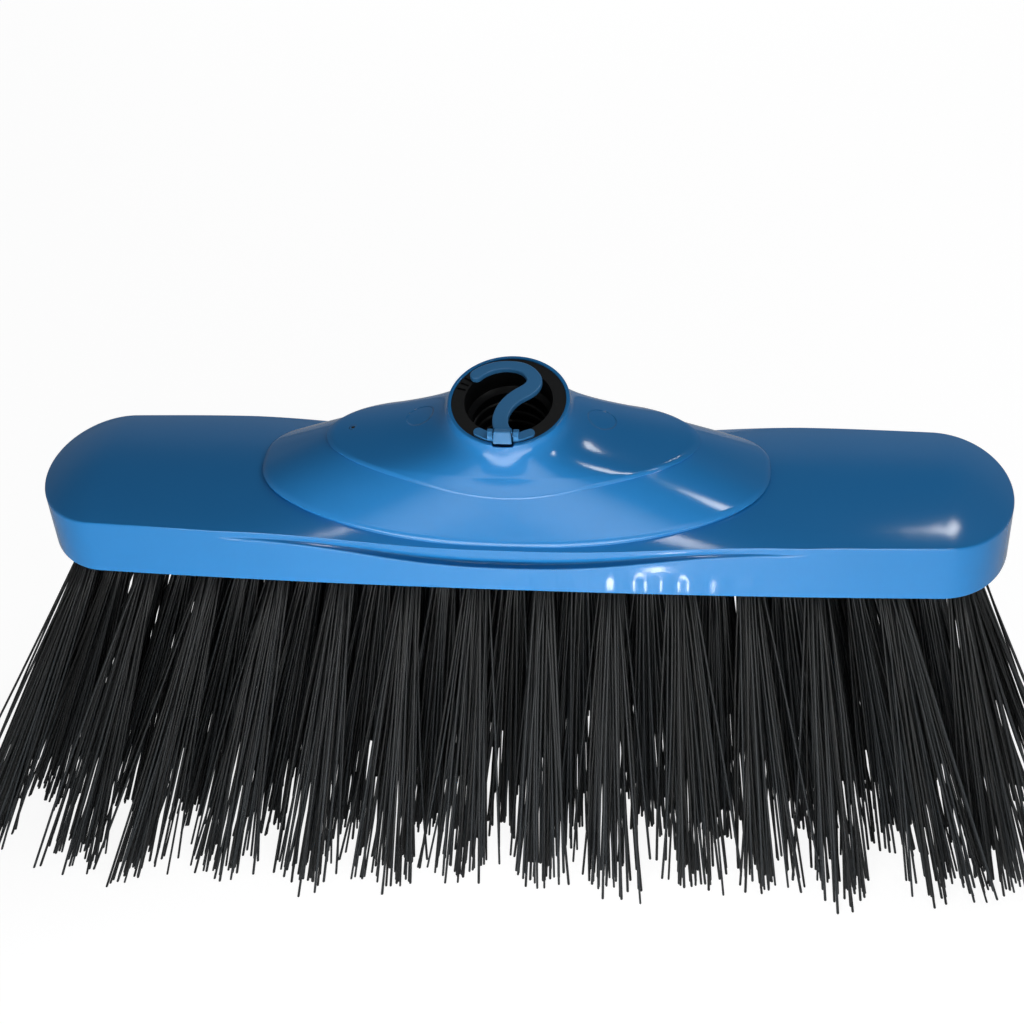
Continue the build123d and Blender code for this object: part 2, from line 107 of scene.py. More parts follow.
SWELL, SWELL_DROP, SWELL_POWER = 3.6, 18.5, 2.5
WALL = 2.4
INNER_WALL_TOP = 7.0
ROOF_INSET, ROOF_HEIGHT = 7.5, 12.6  # where the inside turns from the wall to the sleeve
AROUND = 480  # columns around the head
NECK_ROWS, CONE_ROWS, WING_ROWS = 46, 30, 48

turn = np.linspace(0, 2 * np.pi, AROUND, endpoint=False)


# %% [markdown]
# ### Heights as rules
# On the real cover the wings, the tiers and the neck are one skin. They could be sculpted or boxed
# out by hand. Written as formulas, every guide line can ask for its own height, and lines that meet
# agree without any fitting.

# %% Plan and heights as formulas
def plan_ratio(x, y, inset=0.0):
    """0 on the middle line, 1 on the outline inset all round: the sides bow out by a parabola."""
    bowed = HALF_WIDTH - inset + SIDE_BOW * (1 - (np.minimum(np.abs(x), ROUND_START) / ROUND_START) ** 2)
    past = np.maximum(np.abs(x) - ROUND_START, 0) / (END_ROUND - inset)
    return np.hypot(past, np.abs(y) / bowed)


def edge_height(x):
    """Height of the wing's edge: level at the ends, sinking smoothly to the middle."""
    return EDGE_TOP - EDGE_DIP * np.exp(-(np.abs(x / DIP_REACH) ** DIP_POWER))


def wing_height(x, y):
    """The crown less a fall that grows with the square of the plan ratio."""
    return CROWN - (CROWN - edge_height(x)) * plan_ratio(x, y) ** 2


def squared(half_axes, power, angle):
    """Superellipse (a |cos|^(2/n), b |sin|^(2/n)): an ellipse for n = 2, squarer for more."""
    c, s = np.cos(angle), np.sin(angle)
    x = half_axes[0] * np.sign(c) * np.abs(c) ** (2 / power)
    y = half_axes[1] * np.sign(s) * np.abs(s) ** (2 / power)
    return x, y


def neck_point(drop, around):
    """Point of the neck at a drop below the mouth: its ellipse grows with the drop, its plane levels out."""
    a = RIM_RADIUS + FLARE * (np.maximum(drop, 0) / FLARE_DROP) ** FLARE_POWER
    b = RIM_RADIUS + SWELL * (np.maximum(drop, 0) / SWELL_DROP) ** SWELL_POWER
    tilt = TILT * np.clip(1 - drop / FLARE_DROP, 0, 1)
    y = b * np.sin(around)
    return np.stack([a * np.cos(around), y * np.cos(tilt), MOUTH_Z + RIM_LIP - drop + y * np.sin(tilt)], -1)


print("edge height at the middle and at the end", edge_height(np.array([0.0, 130.0])))

# %% [markdown]
# ## The guide lines of the cover
# Real mouldings have no knife edges. The cover is built from guide lines that run round it: the rim,
# the foot of each tier above and below its little step, the wing's edge, the rebate, the skirt's
# lower edge. Between them the surface is filled by the height rules, and at each guide line the
# corner is replaced by a small curve, so that the light can catch it.

# %% Guide lines
def halved(is_past, low, high, rounds=40):
    """The place between low and high where is_past turns true, by halving the interval."""
    for _ in range(rounds):
        mid = (low + high) / 2
        past = is_past(mid)
        low, high = np.where(past, low, mid), np.where(past, mid, high)
    return (low + high) / 2


tier_top = squared(CONE_TOP[:2], 2.0, turn)
tier_low = squared(CONE_LOW[:2], CONE_POWER, turn)


def tier_line(share):
    """Points of the lower tier's straight lines, from its top ellipse (0) to its squared base (1)."""
    x = tier_top[0] + (tier_low[0] - tier_top[0]) * share
    y = tier_top[1] + (tier_low[1] - tier_top[1]) * share
    z = SKIRT_Z + CONE_TOP[2] + (CONE_LOW[2] - CONE_TOP[2]) * share
    return np.stack([x, y, np.broadcast_to(z, x.shape)], -1)


def past_foot(half_axes, power):
    """True where the tier's line at that share lies outside the superellipse."""
    def test(share):
        """(x / a)^n + (y / b)^n is over 1 outside."""
        points = np.abs(tier_line(share))
        return (points[..., 0] / half_axes[0]) ** power + (points[..., 1] / half_axes[1]) ** power > 1
    return test


share_1 = halved(past_foot(UPPER_FOOT, 2.0), np.full(AROUND, -0.6), np.full(AROUND, 0.9))
share_2 = halved(past_foot(LOWER_FOOT, FOOT_POWER), np.full(AROUND, 0.0), np.full(AROUND, 1.2))
foot_2 = tuple(tier_line(share_2)[:, :2].T)
bearing = np.arctan2(foot_2[1], foot_2[0])


def outline_at(inset):
    """The outline's points in the directions of the tier's foot, inset all round."""
    def test(reach):
        """The plan ratio is over 1 outside."""
        return plan_ratio(reach * np.cos(bearing), reach * np.sin(bearing), inset) > 1
    reach = halved(test, np.full(AROUND, 5.0), np.full(AROUND, 160.0))
    return reach * np.cos(bearing), reach * np.sin(bearing)


outline = outline_at(0.0)
fade = np.clip(1 - (outline[0] / REBATE_HALF) ** 2, 0, 1)


def raised(plan, height):
    """Points over a plan line, heights counted from the skirt's lower edge."""
    return np.stack([plan[0], plan[1], SKIRT_Z + np.broadcast_to(height, plan[0].shape)], -1)


def side_line(inset, height):
    """A line round the skirt at that height and inset; the draft leans it in as it climbs."""
    return raised(outline_at(inset + DRAFT * height), height)


def neck_past_foot(drop):
    """True where the neck at that drop lies outside the upper tier's foot."""
    points = neck_point(drop, turn)
    return (points[:, 0] / UPPER_FOOT[0]) ** 2 + (points[:, 1] / UPPER_FOOT[1]) ** 2 > 1


foot_drop = halved(neck_past_foot, np.zeros(AROUND), np.full(AROUND, SWELL_DROP + 1))
rim_x, rim_y = RIM_RADIUS * np.cos(turn), RIM_RADIUS * np.sin(turn)
in_slot = 1 / (1 + np.exp((np.abs(rim_x) - SLOT_HALF) / SLOT_EDGE)) * (rim_y < 0)
rim_drop = SLOT_DROP * in_slot
print("neck foot drops", foot_drop.min().round(2), foot_drop.max().round(2))


# %% [markdown]
# ### Filling between the lines
# Each stretch of the skin is a band: the neck from the rim to its foot, the lower tier's slope, and
# the wing out to its edge. A loft in a modeller would do this too. Rows of points along the rules
# keep the bands exactly on the heights above, and the rows can be set closer where the form turns.

# %% Profile sections between the guide lines
def between(start, end, steps):
    """Straight blend from start to end, evenly spaced."""
    s = np.linspace(0, 1, steps)[:, None, None]
    return start * (1 - s) + end * s


def eased(steps, power=1.0):
    """Steps from 0 to 1, raised to the power; a power under 1 crowds them towards 1."""
    return np.linspace(0, 1, steps) ** power


def between_shares(start, end, steps):
    """Rows along the lower tier's straight lines."""
    return tier_line(start + (end - start) * eased(steps)[:, None])


share = eased(NECK_ROWS, 0.72)[:, None]
drops = rim_drop + (foot_drop - rim_drop) * share
neck = neck_point(drops, turn[None, :].repeat(len(share), 0))

cone = between_shares(share_1, share_2, CONE_ROWS)

share = (0.5 - 0.5 * np.cos(np.pi * eased(WING_ROWS)))[:, None]
share = 0.35 * share + 0.65 * eased(WING_ROWS)[:, None]
edge_plan = outline_at(REBATE_WIDTH * fade + DRAFT * edge_height(outline[0]))
wing_plan = [foot_2[k] * (1 - share) + edge_plan[k] * share for k in (0, 1)]
wing = raised(wing_plan, wing_height(*wing_plan))
print("section rows", len(neck), len(cone), len(wing))


# %% [markdown]
# ### Corners and the closed skin
# A moulding has small round edges, a step at the foot of each tier and a rebate along its long
# sides. A bevel modifier could round them, with a weight on each edge for the different sizes. Here
# each corner gets its own curve between its neighbouring lines, and all rows join into one closed
# surface, inside wall and sleeve included.

# %% Round the corners and join everything
def rounded(before, corner, after, radius, steps=7):
    """A curve that leaves towards before and after at that distance from the corner, or nearly half
    way where they are close: the quadratic curve (1-s)^2 A + 2 s (1-s) B + s^2 C."""
    def towards(other):
        """The point that far from the corner on the way to the other."""
        way = other - corner
        length = np.linalg.norm(way, axis=-1, keepdims=True)
        return corner + way * np.minimum(radius / np.maximum(length, 1e-6), 0.46)

    a, c = towards(before), towards(after)
    s = np.linspace(0, 1, steps)[:, None, None]
    return (1 - s) ** 2 * a + 2 * s * (1 - s) * corner + s**2 * c


def trimmed(section, start_radius, end_radius):
    """Drop the rows that lie within a corner's curve at either end of the section."""
    from_start = np.linalg.norm(section - section[0], axis=-1).max(1)
    to_end = np.linalg.norm(section - section[-1], axis=-1).max(1)
    return section[(from_start > 1.15 * start_radius) & (to_end > 1.15 * end_radius)]


face_x = np.array([1.0, 0.0, 0.0])
face_y = np.array([0.0, np.cos(TILT), np.sin(TILT)])
face_z = np.array([0.0, -np.sin(TILT), np.cos(TILT)])
mouth = np.array([0.0, 0.0, MOUTH_Z])


def on_face(x, y, height):
    """A point in the flange's plane, raised along the socket."""
    x, y, height = np.broadcast_arrays(x, y, height)
    return mouth + x[..., None] * face_x + y[..., None] * face_y + height[..., None] * face_z


def socket_ring(radius, height):
    """A circle round the socket's axis."""
    return on_face(radius * np.cos(turn), radius * np.sin(turn), height + 0 * turn)


# The rebate: a riser, a gutter behind a low lip, then the skirt. Away from mid-length all of its
# lines slide together down the wall, so that the wing's edge there is one plain corner.
edge = edge_height(outline[0])
groove_top = edge - REBATE_DEPTH * fade**2


def groove_line(width, rise, drop):
    """At mid-length: width in from the skirt's face and rise above its ledge; at the ends: drop below
    the wing's edge, on the wall."""
    height = fade * (groove_top + rise) + (1 - fade) * (edge - drop)
    return side_line(width * fade, height)


def under_edge(section, reach):
    """The section's start carried back under the edge above it, so that a thin shadow falls there."""
    way = section[0] - section[1]
    return section[0] + reach * way / np.linalg.norm(way, axis=-1, keepdims=True)


seat_low = socket_ring(SEAT_RADIUS, -SEAT_DROP)
seat_top = socket_ring(SEAT_RADIUS, RIM_LIP - 0.005 - SEAT_SHARE * rim_drop)
step_1_top, step_1_low = neck[-1] - (0, 0, TIER_STEP), under_edge(cone, TIER_UNDERCUT)
step_2_top, step_2_low = cone[-1] - (0, 0, TIER_STEP), under_edge(wing, TIER_UNDERCUT)
wing_edge = wing[-1]
riser_low = groove_line(REBATE_WIDTH - 0.1, 1.0, 1.7)
gutter_in = groove_line(REBATE_WIDTH + 0.25, -0.35, 2.0)
gutter_out = groove_line(0.75, -0.45, 2.3)
lip_in = groove_line(0.55, 0.0, 2.6)
lip_out = groove_line(0.0, -0.05, 3.0)
skirt_low, inner_low = side_line(0.0, 0.0), side_line(WALL, 0.0)
inner_top = side_line(WALL, INNER_WALL_TOP)
for above, below in ((step_1_top, step_1_low), (step_2_top, step_2_low)):
    print("least and most step", (above - below)[:, 2].min().round(2), (above - below)[:, 2].max().round(2))

rows = [
    seat_low[None],
    rounded(seat_low, seat_top, neck[0], 0.2, 4),
    rounded(seat_top, neck[0], neck[2], 0.5),
    trimmed(neck, 0.8, 0.9),
    rounded(neck[-3], step_1_top, step_1_low, 0.9),
    rounded(step_1_top, step_1_low, cone[1], 0.5, 5),
    trimmed(cone, 0.8, 1.0),
    rounded(cone[-2], step_2_top, step_2_low, 0.9),
    rounded(step_2_top, step_2_low, wing[1], 0.5, 5),
    trimmed(wing, 0.2, 0.9),
    rounded(wing[-3], wing_edge, riser_low, 0.8),
    rounded(wing_edge, riser_low, gutter_in, 0.6, 5),
    rounded(riser_low, gutter_in, gutter_out, 0.5, 5),
    rounded(gutter_in, gutter_out, lip_in, 0.3, 4),
    rounded(gutter_out, lip_in, lip_out, 0.2, 3),
    rounded(lip_in, lip_out, skirt_low, 0.4, 4),
    between(lip_out, skirt_low, 8)[1:-1],
    rounded(lip_out, skirt_low, inner_low, 0.5, 5),
    rounded(skirt_low, inner_low, inner_top, 0.4, 4),
    inner_top[None],
    side_line(ROOF_INSET, ROOF_HEIGHT)[None],
    socket_ring(SLEEVE_RADIUS, SLEEVE_END)[None],
    socket_ring(SLEEVE_RADIUS, -SEAT_DROP)[None],
]
cover_points = np.concatenate(rows)
cover = make_piece("cover_shell", cover_points, grid_faces(len(cover_points), AROUND, ring=True)[:, ::-1])
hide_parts("head_cover")
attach(cover, "head")

# %% [markdown]
# ## Bristles
# A tuft is a bundle of stiff plastic filaments folded in half and pinned in its hole. Out of the
# block it fans, and no two filaments are quite alike: each leans a little its own way, bends a
# little, and ends at its own length. Each one here is a six-sided tube of a few rings along a bent
# line, all worked out at once for a whole column of tufts.

# %% Where the tufts stand and lean
COLUMNS, PITCH, OUTER_ROW = 14, 247.4 / 13, 16.6
ROOT_Z = SKIRT_Z + 3.0
FILAMENTS = 52
FILAMENT_RADIUS = 0.41
ROOT_RADIUS = 3.0
SPREAD = np.array([9.0, 7.4]) / ROOT_RADIUS  # a tuft is this much wider at its tips than at its root
LEAN_PER_MM, UPRIGHT_AT = 0.178, 27  # degrees of lean along the head for each mm from where it is upright
ROW_LEAN = 9.7  # degrees, lean of the outer rows across the head
TWIST_PER_MM, TWIST_FROM = 0.00035, -40  # right of this place the tips drift backwards
TUFT_SCATTER, FILAMENT_SCATTER = 0.018, (0.03, 0.018)  # spread of the slopes
BEND, TIP_SCATTER, LEAST_TIP = 1.6, 3.2, 0.2
SHORT_SHARE, SHORT_BY = 0.06, (2, 12)  # some filaments end well above the rest
RINGS, SIDES = 6, 6


def tuft_places(column):
    """Three tufts in line, and two more half a pitch along."""
    x = (column - (COLUMNS - 1) / 2) * PITCH
    places = [(x, -OUTER_ROW), (x, 0.0), (x, OUTER_ROW)]
    if column < COLUMNS - 1:
        places += [(x + PITCH / 2, -OUTER_ROW / 2), (x + PITCH / 2, OUTER_ROW / 2)]
    return np.array(places)


def filaments(column, rng):
    """Middle lines of a column's filaments: root + lean * s + bend * s^2, s from 0 at the root to 1."""
    places = np.repeat(tuft_places(column), FILAMENTS, 0)
    count = len(places)
    radius, angle = ROOT_RADIUS * np.sqrt(rng.random(count)), 2 * np.pi * rng.random(count)
    offset = np.stack([radius * np.cos(angle), radius * np.sin(angle)], -1)
    tuft_shift = np.repeat(rng.normal(0, TUFT_SCATTER, (count // FILAMENTS, 2)), FILAMENTS, 0)
    lean_x = np.tan(np.radians(LEAN_PER_MM * (places[:, 0] - UPRIGHT_AT)))
    twist = TWIST_PER_MM * np.maximum(places[:, 0] - TWIST_FROM, 0)
    lean_y = np.tan(np.radians(ROW_LEAN)) * places[:, 1] / OUTER_ROW + twist
    fan = offset * (SPREAD - 1) / ROOT_Z
    scatter = rng.normal(0, FILAMENT_SCATTER, (count, 2))
    lean = np.stack([lean_x, lean_y], -1) + tuft_shift + fan + scatter
    bend = rng.normal(0, BEND, (count, 2))
    tip_z = np.abs(rng.normal(0, TIP_SCATTER, count)) + LEAST_TIP
    tip_z = tip_z + (rng.random(count) < SHORT_SHARE) * rng.uniform(*SHORT_BY, count)
    s = np.linspace(0, 1, RINGS)[:, None]
    z = ROOT_Z + (tip_z - ROOT_Z) * s
    bow = bend[None] * (s**2 - s)[..., None] * 2
    plan = (places + offset)[None] + lean[None] * (ROOT_Z - z)[..., None] + bow
    return np.concatenate([plan, z[..., None]], -1)


# %% [markdown]
# ### Tubes along the lines
# A filament is an extruded round rod. Curves with a bevel would give the same shape. Rings set out
# along all lines of a column at once make one mesh to a column, and the shade of each filament, its
# own tone with a painted shade that darkens it towards its root, is kept as a value on its points.

# %% Filaments to tubes
def tubes(lines, radius):
    """Rings of points round each line, level, with a slightly narrower tip; each tube is capped."""
    rings, count = lines.shape[:2]
    angle = 2 * np.pi * np.arange(SIDES) / SIDES
    ring = np.stack([np.cos(angle), np.sin(angle), 0 * angle], -1)
    points = lines[:, :, None, :] + ring[None, None] * np.asarray(radius)[None, :, None, None]
    points = points.transpose(1, 0, 2, 3)
    body = grid_faces(rings, SIDES)[:, ::-1]
    root_cap = np.array([[0, 1, 2, 3], [0, 3, 4, 5]])
    tip_cap = root_cap[:, ::-1] + (rings - 1) * SIDES
    faces = np.concatenate([body, root_cap, tip_cap])
    start = np.arange(count)[:, None, None] * rings * SIDES
    return points.reshape(-1, 3), (faces[None] + start).reshape(-1, 4)


rng = np.random.default_rng(7)
bristle_pieces = []
for column in range(COLUMNS):
    lines = filaments(column, rng)
    thickness = FILAMENT_RADIUS * rng.uniform(0.85, 1.12, lines.shape[1])
    points, quads = tubes(lines, thickness)
    points[:, 2] = np.maximum(points[:, 2], 0.0)
    piece = make_piece(f"bristles_{column + 1:02d}", points, quads)
    shade = piece.data.attributes.new("shade", "FLOAT", "POINT")
    # painted shade: darker towards the root of each filament, where the packed tuft is shaded; the random
    # factor is each filament's own tone
    painted_root_shade = 0.25 + 0.75 * np.repeat(np.linspace(0, 1, RINGS) ** 1.3, SIDES)
    shade.data.foreach_set("value", (rng.random(lines.shape[1])[:, None] * painted_root_shade).ravel().astype(np.float32))
    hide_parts(f"tufts_{column + 1:02d}")
    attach(piece, "head")
    bristle_pieces.append(piece)

# %% [markdown]
# ## Thread in the socket
# A broom handle screws in by a coarse thread. The solid socket has a plain bore, so the thread is one
# helical ridge laid on its wall: a profile that rises and falls across the pitch, carried round.

# %% Helical thread ridge
BORE_RADIUS, THREAD_PITCH, THREAD_DEPTH = 10.9, 4.0, 0.7
THREAD_START, THREAD_HALF = -9.6, 0.85  # its first height, and half its width at the wall


def thread_ridge(turns=4, per_turn=72):
    """Section: out along the wall and back over a round bump; height falls by one pitch each turn."""
    angle = np.linspace(0, 2 * np.pi * turns, turns * per_turn + 1)
    across = np.linspace(-1, 1, 9)
    ends = np.clip(np.minimum(angle, angle[-1] - angle) / 1.2, 0.05, 1)
    bump = THREAD_DEPTH * np.sqrt(1 - across**2)[:, None] * ends
    depth = np.concatenate([bump, -0.1 + 0 * bump[::-1]])
    climb = np.concatenate([across, across[::-1]])[:, None] * THREAD_HALF * ends
    height = THREAD_START - THREAD_PITCH * angle / (2 * np.pi) + climb
    radius = BORE_RADIUS - depth
    return on_face(radius * np.cos(-angle), radius * np.sin(-angle), height)


def end_caps(rows, columns, half):
    """Quads that close both ends of a tube whose section goes out over half its rows and back."""
    k = np.arange(half - 1)
    cap = np.stack([k, k + 1, rows - 2 - k, rows - 1 - k], -1) * columns
    return np.concatenate([cap[:, ::-1], cap + columns - 1])


ridge = thread_ridge()
thread_faces = np.concatenate(
    [grid_faces(*ridge.shape[:2], closed=False, ring=True), end_caps(*ridge.shape[:2], ridge.shape[0] // 2)]
)
thread = make_piece("socket_thread", ridge, thread_faces)
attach(thread, "head")

# %% [markdown]
# ## Thumb tab of the hook
# A small wedge on the hook's knuckle hangs over the rim, so that a thumb can lift the hook out. The
# solid hook carries the knuckle only, so the wedge is made here. It rides with the hook, and it is
# short enough to turn inside the trough that the cover leaves for it.

# %% Wedge with rounded edges
HINGE_REACH, HINGE_HEIGHT, EDGE_ROUND = 14.05, 1.6, 0.3
TAB_PROFILE = (  # outward and up from the hinge line
    (-1.4, -0.9), (0.2, -1.0), (2.75, -0.6), (2.9, -0.3), (1.45, 2.7), (0.75, 2.75), (-1.4, 1.0)
)


def tab_corners():
    """The profile at stations across the tab: near each side it shrinks by r (1 - sqrt(1 - t^2))."""
    t = np.array([1.0, 0.85, 0.6, 0.3, 0.0])
    across = np.concatenate([-1 + 0.12 * (1 - t), (1 - 0.12 * (1 - t))[::-1]])
    inset = EDGE_ROUND * (1 - np.sqrt(1 - np.concatenate([t, t[::-1]]) ** 2))
    profile = np.array(TAB_PROFILE)
    inward = profile.mean(0) - profile
    inward /= np.linalg.norm(inward, axis=1)[:, None]
    points = profile[:, None] + inward[:, None] * inset[None, :, None]
    half_width = 2.5 - 0.08 * points[..., 1]
    return on_face(across * half_width, -HINGE_REACH - points[..., 0], HINGE_HEIGHT + points[..., 1])


corners = tab_corners()
count = len(corners)
ring_rows = [rounded(corners[k - 1], corners[k], corners[(k + 1) % count], 0.28, 4) for k in range(count)]
tab_rows = np.concatenate(ring_rows)
tab_grid = tab_rows.shape[:2]
tab_quads = np.concatenate(
    [grid_faces(*tab_grid, closed=False, ring=True), end_caps(*tab_grid, len(tab_rows) // 2)]
)
tab = make_piece("hook_tab", tab_rows, tab_quads)
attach(tab, "hook")

# %% [markdown]
# ## Materials
# Each material starts from what the real one is. One function turns a written colour into the
# linear value that the shader wants, and one function adds a node with its settings and links.

# %% Colour and node helpers
def linear(code):
    """sRGB hex to linear red, green, blue: the piecewise curve of the standard."""
    value = np.array([int(code[k : k + 2], 16) for k in (1, 3, 5)]) / 255
    value = np.where(value <= 0.04045, value / 12.92, ((value + 0.055) / 1.055) ** 2.4)
    return (*value.tolist(), 1.0)


def add_node(tree, kind, settings=None, links=None):
    """A node of that kind; settings are attributes or input values, links are inputs fed by sockets."""
    node = tree.nodes.new(kind)
    for key, value in (settings or {}).items():
        if isinstance(key, str) and hasattr(node, key):
            setattr(node, key, value)
        else:
            node.inputs[key].default_value = value
    for key, source in (links or {}).items():
        tree.links.new(source, node.inputs[key])
    return node


def compute(tree, operation, *values):
    """A math node; each value is a number or a socket."""
    numbers = {k: v for k, v in enumerate(values) if not isinstance(v, bpy.types.NodeSocket)}
    sockets = {k: v for k, v in enumerate(values) if isinstance(v, bpy.types.NodeSocket)}
    return add_node(tree, "ShaderNodeMath", {"operation": operation, **numbers}, sockets).outputs[0]


def ramp(tree, value, start, end, low=0.0, high=1.0, curve="SMOOTHSTEP"):
    """A step from low to high as the value goes from start to end."""
    settings = {"interpolation_type": curve, "From Min": start, "From Max": end}
    settings |= {"To Min": low, "To Max": high}
    return add_node(tree, "ShaderNodeMapRange", settings, {"Value": value}).outputs["Result"]


def noise(tree, place, **settings):
    """A noise texture over the object's own coordinates."""
    return add_node(tree, "ShaderNodeTexNoise", settings, {"Vector": place}).outputs["Fac"]


def colour_mix(tree, factor, first, second):
    """From the first colour to the second by the factor; the first may be a socket."""
    settings, links = {"data_type": "RGBA", 7: linear(second)}, {"Factor": factor}
    if isinstance(first, str):
        settings[6] = linear(first)
    else:
        links[6] = first
    return add_node(tree, "ShaderNodeMix", settings, links).outputs[2]


def bump(tree, height, distance, normal=None, strength=1.0, invert=False):
    """The normal of a face raised by height times distance, in metres, on top of another normal."""
    links = {"Height": height} if normal is None else {"Height": height, "Normal": normal}
    settings = {"Strength": strength, "Distance": distance, "invert": invert}
    return add_node(tree, "ShaderNodeBump", settings, links).outputs["Normal"]


def new_material(name):
    """An empty material with its output node."""
    material = bpy.data.materials.new(name)
    material.use_nodes = True
    material.node_tree.nodes.clear()
    return material, material.node_tree, add_node(material.node_tree, "ShaderNodeOutputMaterial")


def coat(tree, output, settings, links):
    """A principled shader with those settings and links, shown as the surface."""
    shader = add_node(tree, "ShaderNodeBsdfPrincipled", settings, links)
    tree.links.new(shader.outputs["BSDF"], output.inputs["Surface"])


# %% [markdown]
# ### Glossy moulded polypropylene
# A polished steel mould gives the cover a wet shine, yet the plastic shrinks as it cools, so the
# surface is never quite flat: reflections wobble. A very low, wide bump does that. The gate's ring
# and hole are finer than the mesh's spacing there, so they are bumps as well, and the shade in the
# hole is painted as a dark colour. The sinks over the bosses and the ripple on the wall are wide
# enough to be form in the mesh, and would be the better for it. Here they are bumps too.

# %% Blue cover
RIPPLE_PITCH = 0.0082  # metres
RIPPLE_FULL, RIPPLE_END = 5.0, 8.5  # mm above the skirt's edge
RIPPLE_MIDDLE, RIPPLE_HALF, RIPPLE_FADE = 0.034, 0.04, 0.028  # metres along the head


def low_ripple(tree, place, normal, depth_mm):
    """Sink ripple low on the wall: depth * sin(2 pi x / 8.2 mm), fading out between 5 and 8.5 mm above
    the edge and between 28 and 40 mm either side of its middle."""
    parts = add_node(tree, "ShaderNodeSeparateXYZ", {}, {0: place})
    wave = compute(tree, "SINE", compute(tree, "MULTIPLY", parts.outputs["X"], 2 * np.pi / RIPPLE_PITCH))
    top, full = (SKIRT_Z + RIPPLE_END) * MM, (SKIRT_Z + RIPPLE_FULL) * MM
    low = ramp(tree, parts.outputs["Z"], top, full, curve="LINEAR")
    away = compute(tree, "ABSOLUTE", compute(tree, "SUBTRACT", parts.outputs["X"], RIPPLE_MIDDLE))
    near = ramp(tree, away, RIPPLE_HALF, RIPPLE_FADE, curve="LINEAR")
    height = compute(tree, "MULTIPLY", wave, compute(tree, "MULTIPLY", near, low))
    return bump(tree, height, depth_mm * MM, normal)


def round_mark(tree, place, normal, mark):
    """A round step in plan at (x, y): inside the radius the face lies lower by the depth, all in mm.
    Gives the new normal and the share inside, 0 to 1 across the edge."""
    x, y, radius, depth, edge = np.array(mark) * MM
    flat = add_node(tree, "ShaderNodeVectorMath", {"operation": "MULTIPLY", 1: (1, 1, 0)}, {0: place})
    settings = {"operation": "DISTANCE", 1: (x, y, 0)}
    away = add_node(tree, "ShaderNodeVectorMath", settings, {0: flat.outputs[0]}).outputs["Value"]
    inside = ramp(tree, away, radius + edge, radius)
    return bump(tree, inside, abs(depth), normal, invert=bool(depth > 0)), inside


WOBBLE_HEIGHT = 0.0004  # metres
# painted shade: the dark colour inside the gate's hole, which is too small for the mesh to shade
PIT_SHADE_COLOUR = "#04101C"


def moulded_plastic(name, colour, roughness, wobble_mm, strength, ripple=0.0, marks=()):
    """Plastic with a low wobble; ripple is its depth in mm, and the last of the marks is a hole whose shade
    is painted dark.
    """
    material, tree, output = new_material(name)
    place = add_node(tree, "ShaderNodeTexCoord").outputs["Object"]
    wave = noise(tree, place, Scale=1 / (wobble_mm * MM), Detail=2.0)
    normal = bump(tree, wave, WOBBLE_HEIGHT, strength=strength)
    if ripple:
        normal = low_ripple(tree, place, normal, ripple)
    pit_shade_mask = None
    for mark in marks:
        normal, pit_shade_mask = round_mark(tree, place, normal, mark)
    tint = colour_mix(tree, noise(tree, place, Scale=30.0, Detail=3.0), *colour)
    # painted shade: inside the last mark, the gate's hole, the blue turns dark
    if marks:
        tint = colour_mix(tree, pit_shade_mask, tint, PIT_SHADE_COLOUR)
    coat(tree, output, {"Roughness": roughness, "IOR": 1.49}, {"Base Color": tint, "Normal": normal})
    return material


MARKS = (  # x, y, radius, depth, edge: two sinks over the bosses, the gate's raised ring, its hole
    (-25.5, 1.5, 3.6, 0.3, 0.5),
    (25.5, 1.5, 3.6, 0.3, 0.5),
    (-45.0, 0.5, 0.85, -0.35, 0.35),
    (-45.0, 0.5, 0.35, 0.7, 0.25),
)
RIPPLE_DEPTH = 0.11
cover_blue = moulded_plastic(
    "polypropylene_blue_gloss", ("#1F72B0", "#2376B5"), 0.13, 14.0, 0.2, ripple=RIPPLE_DEPTH, marks=MARKS
)
hook_blue = moulded_plastic("polypropylene_blue_satin", ("#3674A6", "#3A79AD"), 0.3, 3.0, 0.15)
insert_black = moulded_plastic("polypropylene_black_satin", ("#101112", "#151617"), 0.42, 2.0, 0.3)
block_black = moulded_plastic("polypropylene_black_matt", ("#0C0C0D", "#121213"), 0.5, 4.0, 0.3)


# %% [markdown]
# ### Black filament
# Extruded filament is smooth, so each one shows a thin bright line along its lit side. Filaments
# differ slightly in tone, and each one is painted darker towards its root, a painted shade of the
# packed tuft: a value stored along it says how.

# %% Bristle and wire materials
def filament_plastic():
    """Black that varies in tone by filament and is painted darker towards each root as shade, by the value
    stored along each filament.
    """
    material, tree, output = new_material("filament_black")
    shade = add_node(tree, "ShaderNodeAttribute", {"attribute_name": "shade"}).outputs["Fac"]
    tint = colour_mix(tree, shade, "#040505", "#23272A")
    coat(tree, output, {"Roughness": 0.5, "IOR": 1.45}, {"Base Color": tint})
    return material


def drawn_wire():
    """Bright steel whose roughness varies finely."""
    material, tree, output = new_material("steel_wire_drawn")
    place = add_node(tree, "ShaderNodeTexCoord").outputs["Object"]
    rough = ramp(tree, noise(tree, place, Scale=900.0), 0.0, 1.0, 0.25, 0.45, "LINEAR")
    coat(tree, output, {"Base Color": linear("#B9BBBA"), "Metallic": 1.0}, {"Roughness": rough})
    return material


filament_black = filament_plastic()
wire = drawn_wire()


def finish_with(material, *objects):
    """Give the objects that material and no other."""
    for thing in objects:
        thing.data.materials.clear()
        thing.data.materials.append(material)


finish_with(cover_blue, cover)
finish_with(hook_blue, nodes["hanging_hook"], nodes["hook_clip"], tab)
finish_with(insert_black, nodes["socket_insert"], thread)
finish_with(block_black, nodes["bristle_block"])
finish_with(wire, nodes["tuft_anchors"])
finish_with(filament_black, *bristle_pieces)

# %% [markdown]
# ## Floor, light and camera
# The head is shown on a white floor. A soft light from the front, low down, does most of the work,
# and smaller bright panels stand where windows would, because a glossy surface is only as good as
# what it reflects.

# %% Floor and world
FLOOR_HALF, FLOOR_Z = 3000.0, -0.6
FLOOR_GLOW, GLOW_SHARE = 1.2, 0.75


